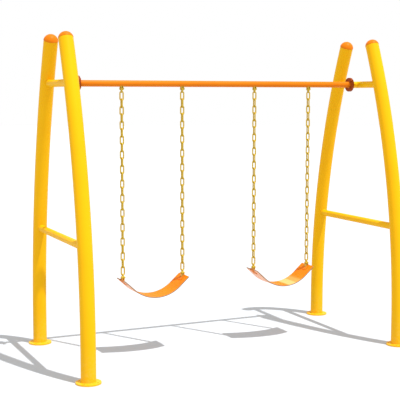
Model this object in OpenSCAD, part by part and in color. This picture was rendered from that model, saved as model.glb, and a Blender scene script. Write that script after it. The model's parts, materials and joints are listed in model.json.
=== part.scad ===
// Double belt swing set: two end frames of curved posts, a bolted-in top beam,
// and two sling seats on welded chains.
// X runs along the beam, Y from front to back and Z up. The origin is on the
// ground, at the middle of the set. All sizes are in millimetres.

/* [End frames] */
// Distance between the two end frames, centre to centre
frame_spacing = 2738; // [2600:2:3400]
// Distance between an end frame's feet, post centre to post centre
foot_span = 1303; // [1100:1:1600]
// Distance between an end frame's post tops, post centre to post centre
top_span = 396; // [300:1:480]
// Height of the middle of a post's top end
post_top_h = 2524; // [2450:1:3000]
// Height at which a post stops being upright and starts its curve
bend_start_h = 189; // [60:1:400]
// Outer diameter of a post
post_od = 114; // [89:1:140]
// Wall of a post
post_wall = 3; // [2:0.5:5]
// Height of the lower crossbar's axis
lower_bar_h = 995; // [600:1:1400]
// Outer diameter of a crossbar
bar_od = 57; // [52:1:76]
// Wall of a crossbar
bar_wall = 3; // [2:0.5:5]

/* [Feet and caps] */
// Diameter of a base flange
foot_d = 190; // [184:1:230]
// Thickness of a base flange
foot_t = 12; // [8:1:20]
// Diameter of the circle that the anchor holes lie on
anchor_pcd = 152; // [148:1:158]
// Diameter of an anchor hole
anchor_hole_d = 14; // [10:1:16]
// Anchor holes in each base flange
anchor_count = 4; // [3:1:8]
// Height of a post cap's dome above its rim
dome_h = 47; // [15:1:55]
// Thickness of a post cap's rim
cap_rim_t = 4; // [2:1:8]
// How far a post cap's rim stands out past the post
cap_lip = 1.5; // [0.5:0.5:4]
// Wall of a post cap
cap_wall = 3; // [2:0.5:4]
// Length of the plug that holds a cap in its post
plug_l = 25; // [15:1:40]

/* [Top beam] */
// Height of the axis of the beam and the upper crossbars
beam_h = 2190; // [2050:1:2300]
// Outer diameter of the beam and of the stubs that carry it
beam_od = 51; // [42:1:51]
// Wall of the beam and its stubs
beam_wall = 4; // [2.5:0.5:6]
// Distance from the left end frame's plane to the joint between beam and stub
flange_inset_left = 151; // [90:1:200]
// Distance from the right end frame's plane to the joint between beam and stub
flange_inset_right = 95; // [90:1:200]
// Diameter of a beam flange
flange_d = 120; // [108:1:140]
// Thickness of a beam flange
flange_t = 10; // [6:1:14]
// Diameter of the circle that the flange bolts lie on
flange_pcd = 86; // [78:1:86]
// Bolts in each flange joint
flange_bolt_count = 4; // [3:1:6]

/* [Swings] */
// Distance between the middles of the two swings
swing_spacing = 1188; // [1000:2:1300]
// Distance between a swing's two chains
chain_spacing = 524; // [440:2:600]
// Links in each chain, an odd number so that both end links face forward
link_count = 25; // [15:2:27]
// Distance from one link's middle to the next one's
chain_pitch = 58.4; // [50:0.1:60]
// Wire diameter of a link
wire_d = 11; // [8:0.5:12]
// Outer width of a link
chain_w = 38; // [36:0.5:42]

/* [Pivots] */
// Thickness of the swinging hanger and seat links
link_t = 8; // [6:0.5:9]
// Distance between a hanger link's pivot and its chain eye
hanger_link_l = 23; // [22:0.5:40]
// Distance between a seat link's pivot and its chain eye
seat_link_l = 22; // [20:0.5:40]
// Radius of a chain eye
eye_r = 6.5; // [6.2:0.1:7]
// Radius of a link's end around its chain eye
eye_end_r = 11; // [10:0.5:11.5]
// Radius of a hanger link's head
hanger_head_r = 13; // [12:0.5:14]
// Radius of a seat link's foot
seat_link_r = 11; // [9:0.5:11]
// Outer diameter of a hanger bush
bush_od = 16; // [14:0.5:18]
// Diameter of the pivot and flange bolts
bolt_d = 10; // [8:0.5:10]
// Thickness of an ear
ear_t = 6; // [4:0.5:8]
// Radius of an ear around its bolt
ear_r = 14; // [12:0.5:14]
// Width of a hanger ear where it meets the beam
ear_top_w = 40; // [30:1:44]

/* [Seats] */
// Width of a seat belt, front to back
belt_w = 200; // [120:1:260]
// Thickness of a seat belt
belt_t = 8; // [5:0.5:12]
// Radius of a seat belt's underside
belt_r = 300; // [220:5:330]
// Slope of a seat belt's ends, in degrees
belt_slope = 42; // [35:1:46]
// Length of the bracket and backing plates along the belt
bracket_l = 60; // [50:1:75]
// Width of the bracket and backing plates
bracket_w = 72; // [60:1:100]
// Thickness of a bracket's base
bracket_t = 4; // [3:0.5:6]
// Thickness of a backing plate
backing_t = 3; // [2:0.5:5]
// Diameter of a rivet
rivet_d = 6; // [4:0.5:8]
// Distance from the plates' edges to the rivets
rivet_inset = 11; // [9:0.5:14]

/* [Clearances] */
// Gap left for the weld where a round tube meets a round tube
weld_gap = 0.3; // [0.2:0.05:0.6]
// Radial running clearance on the pivot bolts
run_gap = 0.05; // [0.02:0.01:0.1]
// Radial clearance of bolts and rivets in their holes
hole_gap = 0.5; // [0.2:0.05:0.8]
// Gap between a link and each ear beside it
side_gap = 0.5; // [0.3:0.1:1]
// Gap between a swinging head and what it turns past
turn_gap = 1.5; // [1:0.1:4]
// Gap between hooked surfaces
hang_gap = 0.3; // [0.2:0.05:0.6]

/* [Hidden] */
ends = ["left", "right"];
corners = ["left_front", "left_rear", "right_front", "right_rear"];
hangers = [1, 2, 3, 4];
swings = [1, 2];

function named(stem, list) = [for (item = list) str(stem, "_", item)];

$fn = 72;
bend_fn = 360;
wire_fn = 32;

yellow = "gold";
orange = "darkorange";
belt_colour = "orange";
chain_colour = "goldenrod";
red_brown = "saddlebrown";
bronze = "peru";

// A post's curve: an arc that starts upright and ends at the top span.
bend_in = (foot_span - top_span) / 2;
bend_rise = post_top_h - bend_start_h;
bend_r = (bend_in * bend_in + bend_rise * bend_rise) / (2 * bend_in);
bend_a = asin(bend_rise / bend_r);

// Post caps
cap_r = post_od / 2 + cap_lip;
plug_r = post_od / 2 - post_wall - weld_gap;
cap_bore_r = plug_r - cap_wall;
dome_r = (cap_r * cap_r + dome_h * dome_h) / (2 * dome_h);

// Hexagon bolts and nuts, as multiples of the bolt's diameter
head_d = 1.9 * bolt_d;
head_t = 0.65 * bolt_d;
nut_t = 0.8 * bolt_d;
tip_l = 0.2 * bolt_d;
bolt_hole_r = bolt_d / 2 + hole_gap / 2;
nut_bore_r = bolt_d / 2 + run_gap;

// Hangers: the pivot hangs just below the beam, the chain eye below the pivot.
ear_in = link_t / 2 + side_gap;
ear_out = ear_in + ear_t;
pivot_h = beam_h - beam_od / 2 - hanger_head_r - turn_gap;
pivot_bore_r = bolt_d / 2 + run_gap;
bush_bore_r = bush_od / 2 + run_gap;
eye_h = pivot_h - hanger_link_l;

// Chains: an end link's crown rests on the eye's edges at the link's two faces.
crown_r = (chain_w - wire_d) / 2;
crown_rest = sqrt(pow(crown_r - wire_d / 2, 2) - pow(link_t / 2, 2));
crown_drop = eye_r + crown_rest - hang_gap;
leg_l = chain_pitch + hang_gap + wire_d - 2 * crown_r;
first_link_h = eye_h - crown_drop - leg_l / 2;
last_link_h = first_link_h - (link_count - 1) * chain_pitch;

// Seats: each hangs from its bolts, high enough above the sloping brackets for the
// links' feet and the bolts' heads to clear them.
seat_eye_h = last_link_h - leg_l / 2 - crown_drop;
seat_pivot_h = seat_eye_h - seat_link_l;
plate_end = ear_out / cos(belt_slope) + turn_gap;
foot_clear = seat_link_r + turn_gap + tan(belt_slope) * link_t / 2;
head_clear = head_d / 2 + turn_gap + sin(belt_slope) * plate_end;
seat_ear_h = max(foot_clear, head_clear);
plate_h = seat_pivot_h - seat_ear_h;
belt_drop = bracket_t + belt_t;
bend_x = belt_r * sin(belt_slope);
slope_l = (bend_x - chain_spacing / 2 - belt_drop * sin(belt_slope)) / cos(belt_slope);
bend_z = plate_h + slope_l * sin(belt_slope) - belt_drop * cos(belt_slope);
belt_centre_h = bend_z + belt_r * cos(belt_slope);
plate_corner = 8;
rivet_head_r = 0.9 * rivet_d;
rivet_head_t = 0.4 * rivet_d;

function post_y(z) = foot_span / 2 - bend_r + sqrt(bend_r * bend_r - pow(z - bend_start_h, 2));
function end_side(end) = end == "left" ? -1 : 1;
function corner_x(corner) = corner == "left_front" || corner == "left_rear" ? -1 : 1;
function corner_y(corner) = corner == "left_front" || corner == "right_front" ? -1 : 1;
function swing_x(swing) = (swing - 1.5) * swing_spacing;
function flange_inset(end) = end == "left" ? flange_inset_left : flange_inset_right;
function flange_x(end) = frame_spacing / 2 - flange_inset(end);
function hanger_x(hanger) =
    swing_x(hanger < 3 ? 1 : 2) + (hanger % 2 == 0 ? 1 : -1) * chain_spacing / 2;

// Puts a rear right post's child on the post of any corner.
module at_post(corner) {
    translate([corner_x(corner) * frame_spacing / 2, 0, 0])
        mirror([0, corner_y(corner) < 0 ? 1 : 0, 0])
            children();
}

// The curved length of a rear post, as the sweep of its 2D child.
module along_bend() {
    translate([0, foot_span / 2 - bend_r, bend_start_h])
        rotate([90, 0, 90])
            rotate_extrude(angle = bend_a, $fn = bend_fn)
                translate([bend_r, 0])
                    children();
}

module ring(outer_r, wall) {
    difference() {
        circle(r = outer_r);
        circle(r = outer_r - wall);
    }
}

module post(corner) {
    color(yellow)
        at_post(corner) {
            translate([0, foot_span / 2, foot_t])
                linear_extrude(bend_start_h - foot_t)
                    ring(post_od / 2, post_wall);
            along_bend()
                ring(post_od / 2, post_wall);
        }
}

module cap_profile() {
    difference() {
        union() {
            translate([0, -plug_l])
                square([plug_r, plug_l]);
            square([cap_r, cap_rim_t]);
            translate([0, cap_rim_t])
                dome_section(dome_r, cap_r);
        }
        translate([0, -plug_l])
            square([cap_bore_r, plug_l + cap_rim_t]);
        translate([0, cap_rim_t])
            dome_section(dome_r - cap_wall, cap_bore_r);
    }
}

// The half section of a dome of radius r about the dome's centre, out to width w.
module dome_section(r, w) {
    intersection() {
        translate([0, dome_h - dome_r])
            circle(r = r);
        square([w, dome_h]);
    }
}

module post_cap(corner) {
    color(orange)
        at_post(corner)
            translate([0, top_span / 2, post_top_h])
                rotate([bend_a, 0, 0])
                    rotate_extrude()
                        cap_profile();
}

module base_flange(corner) {
    color(yellow)
        at_post(corner)
            translate([0, foot_span / 2, 0])
                difference() {
                    cylinder(h = foot_t, d = foot_d);
                    for (i = [0 : anchor_count - 1])
                        rotate((i + 0.5) * 360 / anchor_count)
                            translate([anchor_pcd / 2, 0, -1])
                                cylinder(h = foot_t + 2, d = anchor_hole_d);
                }
}

// A crossbar, mitred to the two posts that it joins.
module crossbar(end, height) {
    reach = 2 * post_y(height);
    color(yellow)
        translate([end_side(end) * frame_spacing / 2, 0, 0])
            difference() {
                translate([0, reach / 2, height])
                    rotate([90, 0, 0])
                        linear_extrude(reach)
                            ring(bar_od / 2, bar_wall);
                for (side = [0, 1])
                    mirror([0, side, 0])
                        along_bend()
                            circle(r = post_od / 2 + weld_gap);
            }
}

// Runs a child that stands along +Z along X, outward from the middle, at beam height.
module outward(end, x) {
    translate([end_side(end) * x, 0, beam_h])
        rotate([0, end_side(end) * 90, 0])
            children();
}

module beam_stub(end) {
    color(yellow)
        difference() {
            outward(end, flange_x(end) + flange_t)
                linear_extrude(flange_inset(end) - flange_t)
                    ring(beam_od / 2, beam_wall);
            translate([end_side(end) * frame_spacing / 2, 0, beam_h])
                rotate([90, 0, 0])
                    cylinder(h = 2 * beam_od, d = bar_od + 2 * weld_gap, center = true);
        }
}

// Copies a child to each bolt of a flange.
module flange_pattern() {
    for (i = [0 : flange_bolt_count - 1])
        rotate((i + 0.5) * 360 / flange_bolt_count)
            translate([flange_pcd / 2, 0, 0])
                children();
}

module flange_plate() {
    difference() {
        cylinder(h = flange_t, d = flange_d);
        flange_pattern()
            translate([0, 0, -1])
                cylinder(h = flange_t + 2, r = bolt_hole_r);
    }
}

module stub_flange(end) {
    color(red_brown)
        outward(end, flange_x(end))
            flange_plate();
}

module beam_flange(end) {
    color(red_brown)
        outward(end, flange_x(end) - flange_t)
            flange_plate();
}

module top_beam() {
    left_x = flange_t - flange_x("left");
    right_x = flange_x("right") - flange_t;
    color(orange)
        translate([left_x, 0, beam_h])
            rotate([0, 90, 0])
                linear_extrude(right_x - left_x)
                    ring(beam_od / 2, beam_wall);
}

// A hexagon bolt that clamps `grip`, with its head below z = 0 and its axis along +Z.
module hex_bolt(grip) {
    translate([0, 0, -head_t])
        cylinder(h = head_t, d = head_d, $fn = 6);
    cylinder(h = grip + nut_t + tip_l, d = bolt_d);
}

module hex_nut() {
    difference() {
        cylinder(h = nut_t, d = head_d, $fn = 6);
        translate([0, 0, -1])
            cylinder(h = nut_t + 2, r = nut_bore_r);
    }
}

module flange_bolts() {
    color(red_brown)
        for (end = ends)
            outward(end, flange_x(end) - flange_t)
                flange_pattern()
                    hex_bolt(2 * flange_t);
}

module flange_nuts() {
    color(red_brown)
        for (end = ends)
            outward(end, flange_x(end) + flange_t)
                flange_pattern()
                    hex_nut();
}

// A pivot's bolt axis, from the outer face of one ear along +X.
module on_pivot(x, height) {
    translate([x, 0, height])
        rotate([0, 90, 0])
            children();
}

// A plate of thickness t across X, whose 2D child lies in the YZ plane around a pivot.
module plate_at(x, height, t) {
    translate([x - t / 2, 0, height])
        rotate([90, 0, 90])
            linear_extrude(t)
                children();
}

// Sides that meet a circle of radius r tangentially and run up to the point (w, h).
module tangent_sides(r, w, h) {
    lean = atan2(h, w) - acos(r / norm([w, h]));
    polygon([[-w, h], [w, h], [r * cos(lean), r * sin(lean)], [-r * cos(lean), r * sin(lean)]]);
}

// An ear of a hanger bracket: round about the bolt and coped to the beam above.
module hanger_ear() {
    beam_up = beam_h - pivot_h;
    cope_r = beam_od / 2 + weld_gap;
    top = beam_up - sqrt(pow(cope_r, 2) - pow(ear_top_w / 2, 2)) + turn_gap;
    difference() {
        union() {
            circle(r = ear_r);
            tangent_sides(ear_r, ear_top_w / 2, top);
        }
        translate([0, beam_up])
            circle(r = cope_r);
        circle(r = bolt_hole_r);
    }
}

module hanger_bracket(hanger) {
    color(chain_colour)
        for (side = [-1, 1])
            plate_at(hanger_x(hanger) + side * (ear_in + ear_t / 2), pivot_h, ear_t)
                hanger_ear();
}

module hanger_bolts() {
    color(chain_colour)
        for (hanger = hangers)
            on_pivot(hanger_x(hanger) - ear_out, pivot_h)
                hex_bolt(2 * ear_out);
}

module hanger_nuts() {
    color(chain_colour)
        for (hanger = hangers)
            on_pivot(hanger_x(hanger) + ear_out, pivot_h)
                hex_nut();
}

module hanger_bush(hanger) {
    bush_l = link_t + side_gap;
    color(bronze)
        on_pivot(hanger_x(hanger) - bush_l / 2, pivot_h)
            linear_extrude(bush_l)
                ring(bush_od / 2, bush_od / 2 - pivot_bore_r);
}

// A swinging link's outline: an end of radius r about the pivot, and a chain eye
// at a distance l above it.
module link_outline(r, bore_r, l) {
    lean = asin((r - eye_end_r) / l);
    difference() {
        union() {
            circle(r = r);
            translate([0, l])
                circle(r = eye_end_r);
            polygon([
                [-r * cos(lean), r * sin(lean)],
                [r * cos(lean), r * sin(lean)],
                [eye_end_r * cos(lean), l + eye_end_r * sin(lean)],
                [-eye_end_r * cos(lean), l + eye_end_r * sin(lean)]
            ]);
        }
        circle(r = bore_r);
        translate([0, l])
            circle(r = eye_r);
    }
}

module hanger_link(hanger) {
    color(chain_colour)
        plate_at(hanger_x(hanger), pivot_h, link_t)
            mirror([0, 1])
                link_outline(hanger_head_r, bush_bore_r, hanger_link_l);
}

module seat_link(hanger) {
    color(chain_colour)
        plate_at(hanger_x(hanger), seat_pivot_h, link_t)
            link_outline(seat_link_r, pivot_bore_r, seat_link_l);
}

// One link about its middle, in the XZ plane: two legs joined by two round crowns.
module chain_link() {
    for (side = [-1, 1])
        translate([side * crown_r, 0, 0])
            cylinder(h = leg_l, d = wire_d, center = true, $fn = wire_fn);
    for (turn = [0, 180])
        rotate([0, turn, 0])
            translate([0, 0, leg_l / 2])
                rotate([90, 0, 0])
                    rotate_extrude(angle = 180)
                        translate([crown_r, 0])
                            circle(d = wire_d, $fn = wire_fn);
}

module chain(hanger) {
    color(chain_colour)
        for (i = [0 : link_count - 1])
            translate([hanger_x(hanger), 0, first_link_h - i * chain_pitch])
                rotate(i % 2 == 0 ? 0 : 90)
                    chain_link();
}

// All that lies above a curve: an arc of radius r that runs on into straight slopes.
module above_curve(r) {
    far = 2 * belt_r;
    edge = [r * sin(belt_slope), -r * cos(belt_slope)];
    tip = edge + far * [cos(belt_slope), sin(belt_slope)];
    circle(r = r);
    polygon([[-edge.x, edge.y], edge, tip, [-tip.x, tip.y]]);
}

// A belt's section across its width, about the middle of its arc. Its ends are square to
// its slopes, along two lines that meet above the arc's middle.
module belt_section() {
    straight = plate_end - slope_l;
    far = 4 * belt_r;
    intersection() {
        difference() {
            above_curve(belt_r);
            above_curve(belt_r - belt_t);
        }
        translate([0, straight / sin(belt_slope)])
            polygon([
                [0, 0],
                [far * sin(belt_slope), -far * cos(belt_slope)],
                [-far * sin(belt_slope), -far * cos(belt_slope)]
            ]);
    }
}

// Puts a child on both slopes of a swing's seat: x runs up the slope, and z = 0 is the top
// of the bracket's base, below the seat's pivot at x = 0.
module on_slopes(swing) {
    translate([swing_x(swing), 0, 0])
        for (side = [0, 1])
            mirror([side, 0, 0])
                translate([chain_spacing / 2, 0, plate_h])
                    rotate([0, -belt_slope, 0])
                        children();
}

// Copies a child to each rivet of a bracket.
module rivet_pattern() {
    for (x = [plate_end - bracket_l + rivet_inset, plate_end - rivet_inset])
        for (y = [-1, 1])
            translate([x, y * (bracket_w / 2 - rivet_inset), 0])
                children();
}

module rivet_holes() {
    depth = bracket_t + belt_t + backing_t;
    rivet_pattern()
        translate([0, 0, -depth - 1])
            cylinder(h = depth + 2, d = rivet_d + hole_gap);
}

// A plate along the slope with its top at z = 0 and clipped corners.
module slope_plate(t) {
    half = bracket_w / 2;
    translate([plate_end - bracket_l, 0, -t])
        linear_extrude(t)
            polygon([
                [0, half - plate_corner], [plate_corner, half],
                [bracket_l - plate_corner, half], [bracket_l, half - plate_corner],
                [bracket_l, plate_corner - half], [bracket_l - plate_corner, -half],
                [plate_corner, -half], [0, plate_corner - half]
            ]);
}

module seat_belt(swing) {
    color(belt_colour)
        difference() {
            translate([swing_x(swing), 0, belt_centre_h])
                rotate([90, 0, 0])
                    linear_extrude(belt_w, center = true)
                        belt_section();
            on_slopes(swing)
                rivet_holes();
        }
}

// The two ears of a seat bracket, upright on the sloping base of their bracket.
module seat_ears() {
    reach = 2 * ear_out;
    difference() {
        for (side = [-1, 1])
            plate_at(side * (ear_in + ear_t / 2), 0, ear_t)
                difference() {
                    union() {
                        translate([0, seat_ear_h])
                            circle(r = ear_r);
                        translate([-ear_r, -reach])
                            square([2 * ear_r, seat_ear_h + reach]);
                    }
                    translate([0, seat_ear_h])
                        circle(r = bolt_hole_r);
                }
        rotate([0, -belt_slope, 0])
            translate([-2 * reach, -reach, -3 * reach])
                cube([4 * reach, 2 * reach, 3 * reach]);
    }
}

module seat_brackets(swing) {
    color(orange) {
        difference() {
            on_slopes(swing)
                slope_plate(bracket_t);
            on_slopes(swing)
                rivet_holes();
        }
        translate([swing_x(swing), 0, 0])
            for (side = [0, 1])
                mirror([side, 0, 0])
                    translate([chain_spacing / 2, 0, plate_h])
                        seat_ears();
    }
}

module backing_plates(swing) {
    color(orange)
        on_slopes(swing)
            difference() {
                translate([0, 0, -belt_drop])
                    slope_plate(backing_t);
                rivet_holes();
            }
}

module seat_rivets(swing) {
    grip = belt_drop + backing_t;
    color(orange)
        on_slopes(swing)
            rivet_pattern() {
                translate([0, 0, -grip])
                    cylinder(h = grip, d = rivet_d);
                cylinder(h = rivet_head_t, r1 = rivet_head_r, r2 = rivet_head_r / 2);
                translate([0, 0, -grip - rivet_head_t])
                    cylinder(h = rivet_head_t, r1 = rivet_head_r / 2, r2 = rivet_head_r);
            }
}

module seat_bolts(swing) {
    color(chain_colour)
        for (side = [-1, 1])
            on_pivot(swing_x(swing) + side * chain_spacing / 2 - ear_out, seat_pivot_h)
                hex_bolt(2 * ear_out);
}

module seat_nuts(swing) {
    color(chain_colour)
        for (side = [-1, 1])
            on_pivot(swing_x(swing) + side * chain_spacing / 2 + ear_out, seat_pivot_h)
                hex_nut();
}

for (corner = corners) {
    post(corner);
    post_cap(corner);
    base_flange(corner);
}
for (end = ends) {
    crossbar(end, beam_h);
    crossbar(end, lower_bar_h);
    beam_stub(end);
    stub_flange(end);
    beam_flange(end);
}
top_beam();
flange_bolts();
flange_nuts();
hanger_bolts();
hanger_nuts();
for (hanger = hangers) {
    hanger_bracket(hanger);
    hanger_bush(hanger);
    hanger_link(hanger);
    chain(hanger);
    seat_link(hanger);
}
for (swing = swings) {
    seat_belt(swing);
    seat_brackets(swing);
    backing_plates(swing);
    seat_rivets(swing);
    seat_bolts(swing);
    seat_nuts(swing);
}
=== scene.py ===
# %% [markdown]
# # A playground swing set, finished for looking at
# The engineering model of this swing set comes in model.glb and model.json: 59 parts on 15
# bodies, each in its true place, in metres. Here it gets its looks. X runs along the top beam,
# Y from front to back and Z up, and the origin is on the ground at the middle of the set.

# %% Load the imported frame
import json
import math

import bmesh
import bpy
import numpy as np
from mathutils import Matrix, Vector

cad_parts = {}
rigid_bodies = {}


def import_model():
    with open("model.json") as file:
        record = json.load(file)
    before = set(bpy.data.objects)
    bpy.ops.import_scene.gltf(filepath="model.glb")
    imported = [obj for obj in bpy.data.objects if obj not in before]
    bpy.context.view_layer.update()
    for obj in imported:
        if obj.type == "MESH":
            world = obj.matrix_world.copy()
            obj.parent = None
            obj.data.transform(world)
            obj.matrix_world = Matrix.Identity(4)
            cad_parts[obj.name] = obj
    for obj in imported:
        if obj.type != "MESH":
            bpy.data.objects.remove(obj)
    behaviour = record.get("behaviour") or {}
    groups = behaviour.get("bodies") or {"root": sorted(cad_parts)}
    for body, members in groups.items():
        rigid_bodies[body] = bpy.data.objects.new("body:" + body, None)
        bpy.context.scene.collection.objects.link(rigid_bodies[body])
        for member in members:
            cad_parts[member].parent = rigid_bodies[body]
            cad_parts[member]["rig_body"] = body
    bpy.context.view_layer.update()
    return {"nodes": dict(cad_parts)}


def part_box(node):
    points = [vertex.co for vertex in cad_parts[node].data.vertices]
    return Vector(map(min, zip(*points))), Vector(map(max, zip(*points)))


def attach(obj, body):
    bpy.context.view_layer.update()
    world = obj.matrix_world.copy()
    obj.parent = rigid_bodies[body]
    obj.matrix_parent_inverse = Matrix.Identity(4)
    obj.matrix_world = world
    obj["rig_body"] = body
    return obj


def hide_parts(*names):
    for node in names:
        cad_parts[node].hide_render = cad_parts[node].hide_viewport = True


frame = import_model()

# %% [markdown]
# ## The camera
# The set is 2.6 m tall and is looked at from about 8 m away, a little above head height,
# from the left front corner. A long lens keeps the far end frame nearly as large as the
# near one. The small shifts slide the view in its frame without turning the camera.

# %% The camera
scene = bpy.context.scene
CAMERA_PLACE = (-3.5712, -7.3686, 2.0953)
CAMERA_YAW, CAMERA_PITCH = 0.4245, 0.1011
LENS_MM, SHIFT_X, SHIFT_Y = 88.6, 0.0190, -0.0115

lens = bpy.data.cameras.new("camera")
lens.sensor_width, lens.lens = 36.0, LENS_MM
lens.shift_x, lens.shift_y = SHIFT_X, SHIFT_Y
lens.clip_end = 200.0
camera = bpy.data.objects.new("camera", lens)
camera.location = CAMERA_PLACE
camera.rotation_euler = (math.pi / 2 - CAMERA_PITCH, 0.0, -CAMERA_YAW)
scene.collection.objects.link(camera)
scene.camera = camera
scene.view_settings.view_transform = "Standard"
print("camera at", CAMERA_PLACE)

# %% [markdown]
# ## Small helpers for shader nodes
# The room's light and every finish are graphs of nodes. Helpers keep the graphs short:
# one places a node and feeds its inputs, and one starts a node group, which is a small
# graph with named inputs and outputs that several finishes share. Groups here give out
# colours, masks, values and heights only. The shader itself stays in each material.

# %% Node helpers
def place(tree, kind, values=None, **settings):
    """Adds a node of that kind; settings are its options, and values are its inputs, each
    a fixed value or a socket of another node to link from."""
    made = tree.nodes.new(kind)
    for option, value in settings.items():
        setattr(made, option, value)
    for label, value in (values or {}).items():
        if isinstance(value, bpy.types.NodeSocket):
            tree.links.new(value, made.inputs[label])
        else:
            made.inputs[label].default_value = value
    return made


def group(name, inputs, outputs):
    """Starts a node group with typed sockets; gives its tree, its inputs and its outputs."""
    tree = bpy.data.node_groups.new(name, "ShaderNodeTree")
    kinds = {"colour": "NodeSocketColor", "value": "NodeSocketFloat"}
    for label, kind, default in inputs:
        socket = tree.interface.new_socket(label, in_out="INPUT", socket_type=kinds[kind])
        socket.default_value = default
    for label, kind in outputs:
        tree.interface.new_socket(label, in_out="OUTPUT", socket_type=kinds[kind])
    return tree, tree.nodes.new("NodeGroupInput"), tree.nodes.new("NodeGroupOutput")


def noise_at(tree, scale, detail=2.0, rough=0.5):
    """A noise texture on object coordinates, whose scale is in waves per metre."""
    where = place(tree, "ShaderNodeTexCoord").outputs["Object"]
    noise = place(tree, "ShaderNodeTexNoise", {
        "Vector": where, "Scale": scale, "Detail": detail, "Roughness": rough})
    return noise.outputs["Fac"]


def spread(tree, source, low, high, to_low=0.0, to_high=1.0):
    """Stretches the span low to high of a value onto to_low to to_high, and clips it."""
    return place(tree, "ShaderNodeMapRange", {
        "Value": source, "From Min": low, "From Max": high, "To Min": to_low,
        "To Max": to_high}).outputs["Result"]


def blend_colours(tree, share, first, second):
    """Mixes two colours by a share; inputs 6 and 7 and output 2 are the colour ones."""
    return place(tree, "ShaderNodeMix", {0: share, 6: first, 7: second},
                 data_type="RGBA").outputs[2]


def join_values(tree, how, first, second):
    """Puts two values together by one arithmetic step."""
    return place(tree, "ShaderNodeMath", {0: first, 1: second}, operation=how).outputs[0]


print("node helpers ready")

# %% [markdown]
# ## The light
# Two lights suit play equipment: one high, small source, which draws crisp shadows, and
# a bright white room, which fills them. A sun lamp and a white world do
# the same. The world is pure white where the camera looks straight at it, and a little
# weaker where it lights the set, so that the two can be balanced one against the other.

# %% Sun and white room
SUN_FROM = np.array([0.203, -0.358, 1.0])
ROOM_LIGHT = 0.90
SUN_LIGHT = 3.75

sun_data = bpy.data.lights.new("sun", "SUN")
sun_data.energy = SUN_LIGHT
sun_data.angle = math.radians(0.7)
sun = bpy.data.objects.new("sun", sun_data)
across = math.hypot(SUN_FROM[0], SUN_FROM[1])
sun.rotation_euler = (
    math.atan2(across, SUN_FROM[2]), 0.0, math.atan2(SUN_FROM[0], -SUN_FROM[1]))
scene.collection.objects.link(sun)

room = bpy.data.worlds.new("white_room")
room.use_nodes = True
room_tree = room.node_tree
room_tree.nodes.clear()
ray = place(room_tree, "ShaderNodeLightPath")
lighting, seen = (
    place(room_tree, "ShaderNodeBackground", {
        "Color": (1.0, 1.0, 1.0, 1.0), "Strength": strength}).outputs[0]
    for strength in (ROOM_LIGHT, 1.0))
either = place(room_tree, "ShaderNodeMixShader", {
    0: ray.outputs["Is Camera Ray"], 1: lighting, 2: seen})
place(room_tree, "ShaderNodeOutputWorld", {"Surface": either.outputs[0]})
scene.world = room
print("sun", SUN_LIGHT, "room", ROOM_LIGHT)

# %% [markdown]
# ## Shared effect: powder coat
# The steelwork is powder coated. The powder melts into a tough skin whose surface is
# very slightly lumpy, like orange peel, with waves about 2 mm long. Its colour drifts a
# little from one stretch to the next with the thickness of the film. The group puts out
# the drifting colour, a roughness that wanders, and the height of the peel.

# %% Powder coat group
powder, powder_in, powder_out = group(
    "powder_coat",
    [("Paint", "colour", (0.8, 0.4, 0.0, 1.0)), ("Thick paint", "colour", (0.7, 0.3, 0.0, 1.0)),
     ("Roughness", "value", 0.4)],
    [("Colour", "colour"), ("Roughness", "value"), ("Height", "value")])
drift = spread(powder, noise_at(powder, 2.6, 4.0, 0.55), 0.35, 0.65)
powder.links.new(
    blend_colours(powder, drift, powder_in.outputs["Paint"], powder_in.outputs["Thick paint"]),
    powder_out.inputs["Colour"])
wander = spread(powder, noise_at(powder, 38.0, 3.0), 0.3, 0.7, -0.05, 0.05)
powder.links.new(join_values(powder, "ADD", wander, powder_in.outputs["Roughness"]),
                 powder_out.inputs["Roughness"])
peel = join_values(powder, "ADD", noise_at(powder, 420.0, 1.5),
                   join_values(powder, "MULTIPLY", noise_at(powder, 90.0, 1.0), 1.6))
powder.links.new(peel, powder_out.inputs["Height"])
print("group:", powder.name)

# %% [markdown]
# ## Shared effect: worn edges
# Paint and plating are thinnest on sharp edges, and hands and boots rub them there
# first. A bevel node gives the normal that a rounded edge would have. Where that differs
# from the true normal there is an edge, and a noise breaks the line into short scuffs.

# %% Worn edges group
wear, wear_in, wear_out = group(
    "worn_edges", [("Amount", "value", 0.5)], [("Mask", "value")])
true_normal = place(wear, "ShaderNodeNewGeometry")
round_normal = place(wear, "ShaderNodeBevel", {"Radius": 0.0012}, samples=4)
likeness = place(wear, "ShaderNodeVectorMath", {
    0: true_normal.outputs["Normal"], 1: round_normal.outputs["Normal"]},
    operation="DOT_PRODUCT")
edge = spread(wear, likeness.outputs["Value"], 0.985, 0.86)
scuffs = spread(wear, noise_at(wear, 140.0, 4.0, 0.6), 0.45, 0.62)
wear.links.new(
    join_values(wear, "MULTIPLY", join_values(wear, "MULTIPLY", edge, scuffs),
                wear_in.outputs["Amount"]),
    wear_out.inputs["Mask"])
print("group:", wear.name)

# %% [markdown]
# ## Shared effect: ground dust
# Rain splashes pale dust against the lowest hand's breadth of anything outdoors. The
# mask is strongest at the ground, fades out at about 0.3 m, and is broken into flecks.

# %% Ground dust group
dust, dust_in, dust_out = group(
    "ground_dust", [("Amount", "value", 0.2)], [("Mask", "value")])
dust_parts = place(dust, "ShaderNodeSeparateXYZ", {
    0: place(dust, "ShaderNodeTexCoord").outputs["Object"]})
low_down = spread(dust, dust_parts.outputs["Z"], 0.30, 0.0)
flecks = spread(dust, noise_at(dust, 55.0, 5.0, 0.65), 0.42, 0.68)
dust.links.new(
    join_values(dust, "MULTIPLY", join_values(dust, "MULTIPLY", low_down, flecks),
                dust_in.outputs["Amount"]),
    dust_out.inputs["Mask"])
print("group:", dust.name)

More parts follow.
